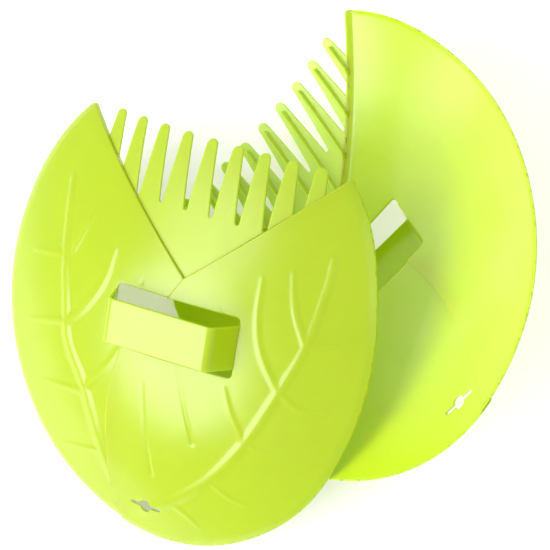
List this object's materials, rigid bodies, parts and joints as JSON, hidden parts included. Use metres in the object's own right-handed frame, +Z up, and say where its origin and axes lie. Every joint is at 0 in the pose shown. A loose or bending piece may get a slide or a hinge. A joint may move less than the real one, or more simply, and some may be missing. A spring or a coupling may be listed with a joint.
{
  "type": "leaf grabber hands",
  "caption": "Pair of domed plastic hand scoops for picking up leaves, each with a toothed front edge, a hand window and a strap.",
  "frame": {"origin": "centre of the pair's footprint, on the surface that the pair lies on", "axes": "+Z up from that surface, +X towards the hand that lies hollow up, +Y towards the wing tips"},
  "size_m": [0.4761, 0.4505, 0.1694],
  "materials": {
    "leaf_plastic": "gloss",
    "rake_plastic": "gloss",
    "strap_plastic": "gloss"
  },
  "bodies": {
    "rear_hand": {"rear_under_leaf": "leaf_plastic", "rear_over_leaf": "leaf_plastic", "rear_rake": "rake_plastic", "rear_strap": "strap_plastic"},
    "front_hand": {"front_under_leaf": "leaf_plastic", "front_over_leaf": "leaf_plastic", "front_rake": "rake_plastic", "front_strap": "strap_plastic"}
  },
  "joints": [
    {"name": "front_hand_lift", "type": "slide", "parent": "rear_hand", "child": "front_hand", "axis": [0, 0, 1], "range_m": [0, 0.25]}
  ]
}
